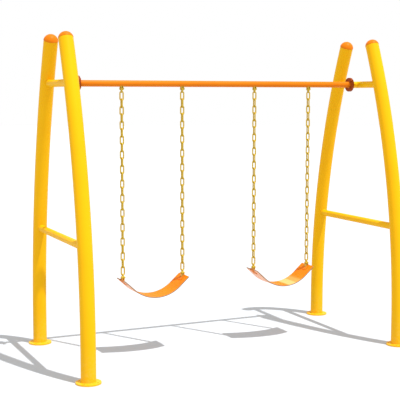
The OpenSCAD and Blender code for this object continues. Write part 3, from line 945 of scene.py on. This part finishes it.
def hex_nut():
    """A nut from z = 0 up, both faces chamfered, with a countersunk bore."""
    bore = BOLT_D / 2 + 0.00005
    flip = CHAMFER[::-1]
    return np.concatenate([
        stacked(hexagon(CHAMFER), CHAMFER), stacked(hexagon(flip), NUT_T - flip),
        stacked(bore + COUNTERSINK, NUT_T), stacked(bore, NUT_T - COUNTERSINK),
        stacked(bore, COUNTERSINK), stacked(bore + COUNTERSINK, 0.0)])


def laid_along_x(points, x, y, z, side=1):
    """Turns a shape that stands on Z to lie along X (or -X) from the point (x, y, z)."""
    return np.stack([x + side * points[..., 2], y + points[..., 1],
                     z - side * points[..., 0]], axis=-1)


print("bolt rows:", len(hex_bolt(0.02)), " nut rows:", len(hex_nut()))

# %% Bolts and nuts in place
def fasteners(name, node, shape, places, finish=chain_steel, ring=False):
    """Copies one bolt or nut to each (x, y, z, side) of a CAD part and replaces it."""
    at = np.stack([laid_along_x(shape, *spot) for spot in places])
    new_piece(name, *joined_grids(at, ring), finish, body_of_node(node), [node], crease=25.0)


FLANGE_PCD_R = 0.043
bolt_turn = np.radians([45, 135, 225, 315])
PIVOT_H, SEAT_PIVOT_H = middle_of("hanger_bush_1")[2], middle_of("seat_nuts_1")[2]


def flange_spots(beyond):
    """The four bolt places of both flange joints, at a distance beyond their plane."""
    return [(side * (FLANGE_X[end] + beyond), FLANGE_PCD_R * math.sin(t),
             BEAM_H - side * FLANGE_PCD_R * math.cos(t), side)
            for end, side in SIDES.items() for t in bolt_turn]


# The flange bolts and nuts take the same red-brown painted shade as the flanges.
fasteners("hex_flange_bolts", "flange_bolts", hex_bolt(2 * FLANGE_T),
          flange_spots(-FLANGE_T), red_brown_paint)
fasteners("hex_flange_nuts", "flange_nuts", hex_nut(), flange_spots(FLANGE_T),
          red_brown_paint, ring=True)
fasteners("hex_hanger_bolts", "hanger_bolts", hex_bolt(2 * EAR_OUT),
          [(x - EAR_OUT, 0, PIVOT_H) for x in HANGERS.values()])
fasteners("hex_hanger_nuts", "hanger_nuts", hex_nut(),
          [(x + EAR_OUT, 0, PIVOT_H) for x in HANGERS.values()], ring=True)
SEATS = {1: (HANGERS[1], HANGERS[2]), 2: (HANGERS[3], HANGERS[4])}
for seat, pair in SEATS.items():
    fasteners(f"hex_seat_bolts_{seat}", f"seat_bolts_{seat}", hex_bolt(2 * EAR_OUT),
              [(x - EAR_OUT, 0, SEAT_PIVOT_H) for x in pair])
    fasteners(f"hex_seat_nuts_{seat}", f"seat_nuts_{seat}", hex_nut(),
              [(x + EAR_OUT, 0, SEAT_PIVOT_H) for x in pair], ring=True)

# %% [markdown]
# ## The belt seats
# The belt is a slab of rubber with a long hanging curve: an arc under the rider that runs
# on straight up to the two brackets. Its section is a flat box with rounded sides,
# carried along that line. Near each end the section shrinks along a quarter circle, in
# thickness and in width, so the ends and the corners are rounded like the long sides.

# %% The belt's line and section
BELT_W, BELT_T, BELT_R, BELT_SLOPE = 0.200, 0.008, 0.300, math.radians(42)
belt_low, belt_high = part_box("seat_belt_1")
BELT_MID_Z = belt_low.z + BELT_R
BELT_HALF = (belt_high.x - belt_low.x) / 2
STRAIGHT = (BELT_HALF - BELT_R * math.sin(BELT_SLOPE)) / math.cos(BELT_SLOPE)
EDGE_R, CORNER_R = 0.0026, 0.010


def belt_line(s):
    """Point and upward normal at the distance s from the middle: an arc of radius R - t/2
    up to the bend, then straight along the slope."""
    mid_r = BELT_R - BELT_T / 2
    arc_l = mid_r * BELT_SLOPE
    turn = np.clip(s, -arc_l, arc_l) / mid_r
    beyond = s - turn * mid_r
    x = mid_r * np.sin(turn) + beyond * np.cos(turn)
    z = BELT_MID_Z - mid_r * np.cos(turn) + np.abs(beyond) * np.sin(np.abs(turn))
    return x, z, -np.sin(turn), np.cos(turn)


def end_inset(to_end, radius):
    """How far a side pulls in at a distance to_end from the end: r - sqrt(r^2 - (r-d)^2)."""
    near = np.clip(radius - to_end, 0, radius)
    return radius - np.sqrt(radius ** 2 - near ** 2)


half_l = (BELT_R - BELT_T / 2) * BELT_SLOPE + STRAIGHT
tip = CORNER_R * (1 - np.cos(np.linspace(0, np.pi / 2, 11)))
edge_tip = EDGE_R * (1 - np.cos(np.linspace(0, np.pi / 2, 6)))
from_end = np.unique(np.round(np.concatenate([edge_tip, tip, np.linspace(0.012, half_l, 64)]), 6))
along = np.concatenate([-half_l + from_end, (half_l - from_end)[::-1][1:]])
print("belt length along its middle:", round(2 * half_l, 4), "m")

# %% Belts
corner_a = np.linspace(0, np.pi / 2, 6)
side_share = np.linspace(-1, 1, 30)[1:-1]
quarter = [(1, 1, corner_a), (-1, 1, np.pi / 2 + corner_a),
           (-1, -1, np.pi + corner_a), (1, -1, 1.5 * np.pi + corner_a)]
to_end = half_l - np.abs(along)
half_w = (BELT_W / 2 - end_inset(to_end, CORNER_R))[:, None]
half_t = (BELT_T / 2 - end_inset(to_end, EDGE_R))[:, None]
edge_r = np.minimum(EDGE_R, half_t)
arcs = [(sy * (half_w - edge_r) + edge_r * np.cos(a), sn * (half_t - edge_r) + edge_r * np.sin(a))
        for sy, sn, a in quarter]
top = (-(half_w - edge_r) * side_share, half_t + 0 * side_share)
under = ((half_w - edge_r) * side_share, -half_t + 0 * side_share)
section = (arcs[0], top, arcs[1], arcs[2], under, arcs[3])
section_y, section_n = (np.concatenate([part[k] for part in section], 1) for k in (0, 1))
line_x, line_z, normal_x, normal_z = (value[:, None] for value in belt_line(along))
belt_points = np.stack([line_x + section_n * normal_x, section_y,
                        line_z + section_n * normal_z], axis=-1)
belt_rows, belt_cols = section_y.shape
belt_faces = grid_faces(belt_rows, belt_cols).tolist()
belt_faces += [list(range(belt_cols)), list(range((belt_rows - 1) * belt_cols,
                                                  belt_rows * belt_cols))]


def rise(value, start, stop):
    """A smooth step from 0 at start to 1 at stop: t^2 (3 - 2t)."""
    t = np.clip((value - start) / (stop - start), 0, 1)
    return t * t * (3 - 2 * t)


FACE_DEPTH = 0.0012


def mark_belt(piece, middle, reflection_share):
    """Writes three numbers at each point, from its depth above the belt's lower face:
    edge between the faces, where the painted shade goes; under on the lower face; and
    painted_reflection, a painted reflection in a band on the top face."""
    x, y, z = vectors(piece.data.vertices, "co").T
    x, z = x - middle, z - BELT_MID_Z
    sin, cos = math.sin(BELT_SLOPE), math.cos(BELT_SLOPE)
    on_the_slope = np.abs(x) * cos + z * sin > 0
    depth = BELT_R - np.where(on_the_slope, np.abs(x) * sin - z * cos, np.hypot(x, z))
    # The band is a painted reflection: a pale stripe across the top face, fading in and out along
    # x.
    reflection_band = rise(x, 0.020, 0.045) * (1 - 0.55 * rise(x, 0.100, 0.106)) \
        * (1 - rise(x, 0.135, 0.165))
    # edge marks the belt's side faces, which take the dark grey-brown painted shade.
    marks = {"edge": np.clip((BELT_T / 2 - np.abs(depth - BELT_T / 2)) / FACE_DEPTH, 0, 1),
             "under": 1 - rise(depth, 0.0, FACE_DEPTH),
             "painted_reflection": reflection_share * reflection_band * rise(depth, BELT_T - FACE_DEPTH, BELT_T)}
    for label, value in marks.items():
        mark = piece.data.attributes.new(label, "FLOAT", "POINT")
        mark.data.foreach_set("value", value.astype(np.float32))


# Only the second belt carries the painted reflection band.
REFLECTION_SHARE = {1: 0.0, 2: 1.0}
for seat, pair in SEATS.items():
    middle = sum(pair) / 2
    belt = new_piece(f"moulded_belt_{seat}", belt_points + (middle, 0, 0), belt_faces,
                     belt_rubber, body_of_node(f"seat_belt_{seat}"), [f"seat_belt_{seat}"],
                     crease=50.0)
    mark_belt(belt, middle, REFLECTION_SHARE[seat])

# %% [markdown]
# ## Rivets and seat welds
# Four rivets a side clamp the belt between its bracket and a backing plate. A rivet is a
# shank with two low domes, turned about its own axis and set square to the belt's slope.
# The ears stand upright on the sloping bracket, and short beads run along their feet.

# %% Rivets and seat welds
RIVET_R, RIVET_HEAD_R, RIVET_HEAD_T = 0.003, 0.0054, 0.0024
BRACKET_L, BRACKET_W, BRACKET_T, BACKING_T, RIVET_INSET = 0.060, 0.072, 0.004, 0.003, 0.011
CHAIN_HALF = (HANGERS[2] - HANGERS[1]) / 2
PLATE_END = EAR_OUT / math.cos(BELT_SLOPE) + 0.0015
bend_up = STRAIGHT - PLATE_END
top_r = BELT_R - BELT_T - BRACKET_T
PLATE_Z = BELT_MID_Z - top_r * math.cos(BELT_SLOPE) + bend_up * math.sin(BELT_SLOPE)
grip = BRACKET_T + BELT_T + BACKING_T
head_r = (RIVET_HEAD_R ** 2 + RIVET_HEAD_T ** 2) / (2 * RIVET_HEAD_T)
head = arc_rows(head_r, RIVET_HEAD_T - head_r, 0.0, RIVET_HEAD_R, 8)
tail = np.stack([head[::-1, 0], -grip - head[::-1, 1]], axis=-1)
rivet = turned(np.concatenate([head, [(RIVET_R, 0.0), (RIVET_R, -grip)], tail]), around=24)


def on_slope(points, middle, side, along_slope=0.0, y=0.0):
    """Moves points from a slope's own axes (up the slope, y, square to it) into place."""
    u, w = points[..., 0] + along_slope, points[..., 2]
    x = CHAIN_HALF + u * math.cos(BELT_SLOPE) - w * math.sin(BELT_SLOPE)
    z = PLATE_Z + u * math.sin(BELT_SLOPE) + w * math.cos(BELT_SLOPE)
    return np.stack([middle + side * x, points[..., 1] + y, z], axis=-1)


rivet_spots = [(side, u, y) for side in (-1, 1)
               for u in (PLATE_END - BRACKET_L + RIVET_INSET, PLATE_END - RIVET_INSET)
               for y in (RIVET_INSET - BRACKET_W / 2, BRACKET_W / 2 - RIVET_INSET)]
SEAT_EAR_HALF = 0.0125
ear_run = np.linspace(-SEAT_EAR_HALF, SEAT_EAR_HALF, 41)
for seat, pair in SEATS.items():
    middle = sum(pair) / 2
    at = np.stack([on_slope(rivet, middle, *spot) for spot in rivet_spots])
    new_piece(f"domed_rivets_{seat}", *joined_grids(at), orange_paint, f"seat_{seat}",
              [f"seat_rivets_{seat}"], crease=40.0)
    feet = []
    for side in (-1, 1):
        for ear in (-1, 1):
            u = ear * EAR_OUT / math.cos(BELT_SLOPE)
            run = np.stack([0 * ear_run, ear_run, 0 * ear_run], axis=-1)
            feet.append(short_bead(on_slope(run, middle, side, u),
                                   np.array([side * ear, 0.0, 0.0]), SEAT_WELD))
    new_piece(f"seat_welds_{seat}", *joined_grids(np.stack(feet)), orange_paint,
              f"seat_{seat}", crease=70.0)

# %% [markdown]
# ## Plated ears on painted brackets
# The base plates of the seat brackets are orange, but their ears are plated like the links
# they hold. One mesh can carry two finishes: each face says which of them it takes. Here
# the faces that rise above the sloping plate take the second one.

# %% Plated ears
BASE_SKIN = 0.0006
for seat, pair in SEATS.items():
    bracket = soft_pieces[f"seat_brackets_{seat}"].data
    bracket.materials.append(chain_steel)
    x, y, z = vectors(bracket.polygons, "center").T
    beyond = np.abs(x - sum(pair) / 2) - CHAIN_HALF
    above = (z - PLATE_Z) * math.cos(BELT_SLOPE) - beyond * math.sin(BELT_SLOPE)
    plated_faces = (above > BASE_SKIN).astype(np.int32)
    bracket.polygons.foreach_set("material_index", plated_faces)
    print("plated faces on bracket", seat, ":", int(plated_faces.sum()))

# %% [markdown]
# ## The bushes
# The four bronze bushes are plain rings that hardly show, so their CAD shapes stay, and
# only their finish is new.

# %% Bushes
for n in HANGERS:
    bush = frame["nodes"][f"hanger_bush_{n}"]
    bush.data.materials.clear()
    bush.data.materials.append(bronze)
print("bushes finished:", len(HANGERS))

# %% [markdown]
# ## The floor
# The set stands on a plain pale floor that runs out of sight. Its tone is chosen so that
# the lit floor comes out as white as the room, and only the shadows show. It is a touch
# bluer than grey, because the yellow steelwork throws a warm light back on to it.

# %% Floor
FLOOR_TONE = np.array([0.540, 0.560, 0.585])
floor_a = once_round(64)
floor_r = np.array([0.0, 3.0, 6.0, 12.0, 60.0])[:, None]
floor_points = np.stack([floor_r * np.cos(floor_a), floor_r * np.sin(floor_a),
                         0 * floor_r + 0 * floor_a], axis=-1)
floor_faces = grid_faces(floor_r.size, floor_a.size)[:, ::-1]
floor_mesh = merged_mesh("floor", floor_points, floor_faces)
floor_finish, floor_tree, floor_shader = new_finish("pale_floor", specular=0.0)
floor_tree.links.new(
    blend_colours(floor_tree, noise_at(floor_tree, 6.0, 3.0),
                  (*(FLOOR_TONE * 0.995), 1.0), (*(FLOOR_TONE * 1.005), 1.0)),
    floor_shader.inputs["Base Color"])
floor_shader.inputs["Roughness"].default_value = 0.95
floor_mesh.materials.append(floor_finish)
floor = bpy.data.objects.new("floor", floor_mesh)
scene.collection.objects.link(floor)
print("floor tone:", FLOOR_TONE)
